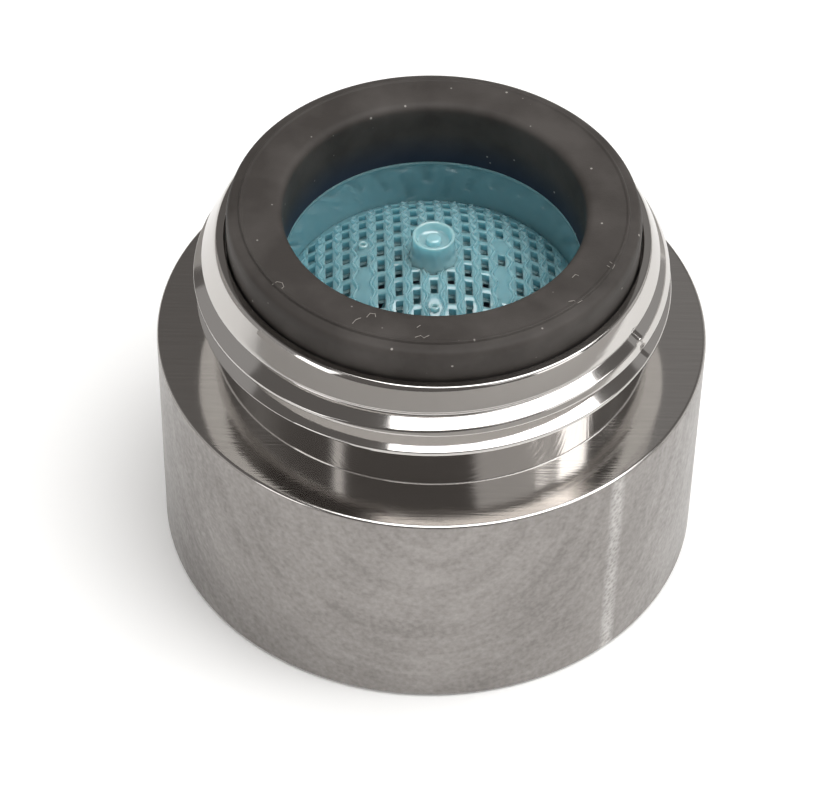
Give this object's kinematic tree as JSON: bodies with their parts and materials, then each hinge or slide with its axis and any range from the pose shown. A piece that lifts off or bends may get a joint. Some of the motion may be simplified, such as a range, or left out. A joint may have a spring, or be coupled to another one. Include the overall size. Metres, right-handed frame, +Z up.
{
  "type": "tap aerator",
  "caption": "Round tap aerator: chromed sleeve with a male thread, a thick rubber washer and a domed plastic strainer cartridge that mixes air into the stream.",
  "frame": {"origin": "centre of the outlet rim, which is the face the part stands on", "axes": "+Z up the sleeve's axis from the outlet to the inlet; -Y faces the viewer of the picture and +X is to the right"},
  "size_m": [0.021, 0.021, 0.0158],
  "materials": {
    "chromed_brass": "bright chrome plate, polished spigot and shoulder, satin skirt",
    "washer_rubber": "matt moulded rubber",
    "strainer_plastic": "translucent teal acetal, as moulded",
    "ring_rubber": "black moulded rubber",
    "cartridge_plastic": "natural white acetal, as moulded"
  },
  "bodies": {
    "root": {"housing": "chromed_brass", "sealing_washer": "washer_rubber", "inlet_strainer": "strainer_plastic", "regulator_body": "cartridge_plastic", "regulator_ring": "ring_rubber", "jet_plate": "cartridge_plastic", "cartridge_sleeve": "cartridge_plastic", "deflector_ring": "cartridge_plastic", "mixing_grid_1": "cartridge_plastic", "mixing_grid_2": "cartridge_plastic", "outlet_honeycomb": "cartridge_plastic"}
  },
  "joints": []
}
